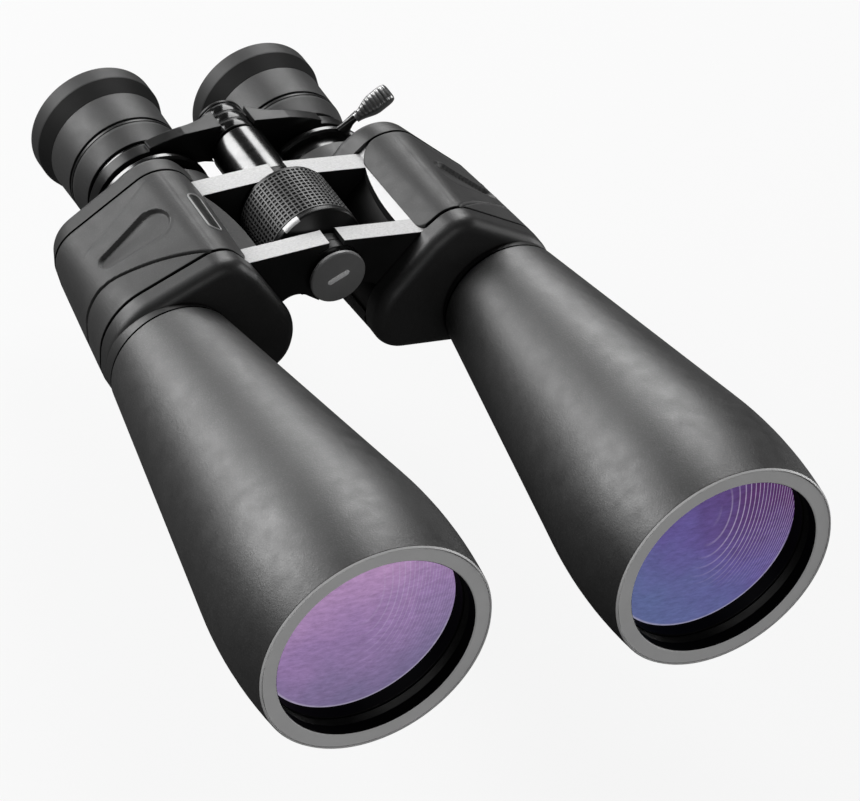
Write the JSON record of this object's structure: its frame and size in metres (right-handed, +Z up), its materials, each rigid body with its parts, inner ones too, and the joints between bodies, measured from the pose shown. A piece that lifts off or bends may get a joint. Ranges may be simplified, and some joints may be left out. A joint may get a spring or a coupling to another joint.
{
  "type": "astronomy binoculars",
  "caption": "Large zoom binoculars: two Porro prism halves with long tapered objective barrels on a centre hinge, focus wheel, bridge, zoom lever and rubber eyecups.",
  "frame": {"origin": "on the main hinge axis, in the plane of the front face of the front hinge lug, inside the tripod socket's thread", "axes": "+Y runs back along the hinge from the objectives to the eyepieces, +Z is up, +X is to the user's left"},
  "size_m": [0.2148, 0.3013, 0.085],
  "materials": {
    "barrel_paint": "satin charcoal lacquer",
    "casting_paint": "semi-matt black",
    "armour_rubber": "fine matt grain",
    "cover_plastic": "fine matt grain",
    "ring_metal": "satin grey anodised",
    "black_anodised": "black anodised",
    "coated_glass": "violet coated",
    "prism_glass": "polished",
    "spring_steel": "sheet",
    "black_chrome": "black chrome",
    "steel": "turned",
    "black_metal": "gloss black",
    "sleeve_rubber": "matt",
    "cup_rubber": "soft matt",
    "grip_rubber": "square knurl",
    "washer_plastic": "slippery polymer",
    "trim_metal": "satin",
    "cap_plastic": "satin",
    "plate_metal": "dark satin"
  },
  "bodies": {
    "right_half": {"right_prism_housing": "casting_paint", "right_front_cover": "cover_plastic", "right_rear_cover": "cover_plastic", "right_armour": "armour_rubber", "right_objective_barrel": "barrel_paint", "right_objective_ring": "ring_metal", "right_objective_cell": "black_anodised", "right_objective_retainer": "black_anodised", "right_objective_lens": "coated_glass", "right_prism_plate": "black_anodised", "right_front_prism": "prism_glass", "right_rear_prism": "prism_glass", "right_front_prism_clip": "spring_steel", "right_rear_prism_clip": "spring_steel", "hinge_pin": "steel", "hinge_tube": "black_chrome", "hinge_washers": "washer_plastic", "nameplate": "plate_metal"},
    "left_half": {"left_prism_housing": "casting_paint", "left_front_cover": "cover_plastic", "left_rear_cover": "cover_plastic", "left_armour": "armour_rubber", "left_objective_barrel": "barrel_paint", "left_objective_ring": "ring_metal", "left_objective_cell": "black_anodised", "left_objective_retainer": "black_anodised", "left_objective_lens": "coated_glass", "left_prism_plate": "black_anodised", "left_front_prism": "prism_glass", "left_rear_prism": "prism_glass", "left_front_prism_clip": "spring_steel", "left_rear_prism_clip": "spring_steel"},
    "focus_wheel": {"focus_wheel": "black_metal", "focus_grip": "grip_rubber"},
    "right_eyepiece": {"right_ocular_tube": "black_chrome", "right_bridge_arm": "black_metal", "focus_spindle": "steel", "spindle_cap": "black_metal"},
    "left_eyepiece": {"left_ocular_tube": "black_chrome", "left_bridge_arm": "black_metal", "left_base_ring": "sleeve_rubber", "left_trim_ring": "trim_metal", "left_ocular_sleeve": "sleeve_rubber", "left_eyecup": "cup_rubber", "left_eye_lens_cell": "black_anodised", "left_eye_lens": "coated_glass"},
    "right_dioptre_ring": {"right_base_ring": "sleeve_rubber", "right_trim_ring": "trim_metal", "right_ocular_sleeve": "sleeve_rubber", "right_eyecup": "cup_rubber"},
    "right_eye_cell": {"right_eye_lens_cell": "black_anodised", "right_eye_lens": "coated_glass"},
    "left_zoom_ring": {"left_zoom_ring": "black_chrome", "zoom_lever": "black_chrome"},
    "right_zoom_ring": {"right_zoom_ring": "black_chrome"},
    "left_zoom_group": {"left_zoom_carriage": "black_anodised", "left_zoom_lens": "prism_glass"},
    "right_zoom_group": {"right_zoom_carriage": "black_anodised", "right_zoom_lens": "prism_glass"},
    "tripod_cap": {"tripod_cap": "cap_plastic"}
  },
  "joints": [
    {"name": "interpupillary_hinge", "type": "hinge", "parent": "right_half", "child": "left_half", "pos_m": [0, 0.025, 0], "axis": [0, 1, 0], "range_deg": [-16, 25]},
    {"name": "focus_turn", "type": "hinge", "parent": "right_half", "child": "focus_wheel", "pos_m": [0, 0.025, 0], "axis": [0, 1, 0], "range_deg": [-61, 321]},
    {"name": "right_focus_travel", "type": "slide", "parent": "right_half", "child": "right_eyepiece", "axis": [0, 1, 0], "range_m": [-0.0015, 0.008]},
    {"name": "left_focus_travel", "type": "slide", "parent": "left_half", "child": "left_eyepiece", "axis": [0, 1, 0], "range_m": [-0.0016, 0.0081]},
    {"name": "zoom_turn", "type": "hinge", "parent": "left_eyepiece", "child": "left_zoom_ring", "pos_m": [0.03279, 0.076, -0.01802], "axis": [0, 1, 0], "range_deg": [0, 100]},
    {"name": "right_zoom_turn", "type": "hinge", "parent": "right_eyepiece", "child": "right_zoom_ring", "pos_m": [-0.03279, 0.076, -0.01802], "axis": [0, 1, 0], "range_deg": [-1, 101]},
    {"name": "left_zoom_travel", "type": "slide", "parent": "left_eyepiece", "child": "left_zoom_group", "axis": [0, 1, 0], "range_m": [-0.0001, 0.0081]},
    {"name": "right_zoom_travel", "type": "slide", "parent": "right_eyepiece", "child": "right_zoom_group", "axis": [0, 1, 0], "range_m": [-0.0001, 0.0081]},
    {"name": "dioptre_turn", "type": "hinge", "parent": "right_eyepiece", "child": "right_dioptre_ring", "pos_m": [-0.03279, 0.1, -0.01802], "axis": [0, 1, 0], "range_deg": [-61, 61]},
    {"name": "eye_cell_travel", "type": "slide", "parent": "right_eyepiece", "child": "right_eye_cell", "axis": [0, 1, 0], "range_m": [-0.001, 0.001]},
    {"name": "tripod_cap_pull", "type": "slide", "parent": "right_half", "child": "tripod_cap", "axis": [0, -1, 0], "range_m": [0, 0.05]}
  ],
  "couplings": [
    {"joint": "focus_turn", "follows": "right_focus_travel", "rad_per_m": 698.13},
    {"joint": "left_focus_travel", "follows": "right_focus_travel", "ratio": 1},
    {"joint": "right_zoom_turn", "follows": "zoom_turn", "ratio": 1},
    {"joint": "left_zoom_travel", "follows": "zoom_turn", "m_per_rad": 0.0045837},
    {"joint": "right_zoom_travel", "follows": "zoom_turn", "m_per_rad": 0.0045837},
    {"joint": "dioptre_turn", "follows": "eye_cell_travel", "rad_per_m": 1047.2}
  ]
}
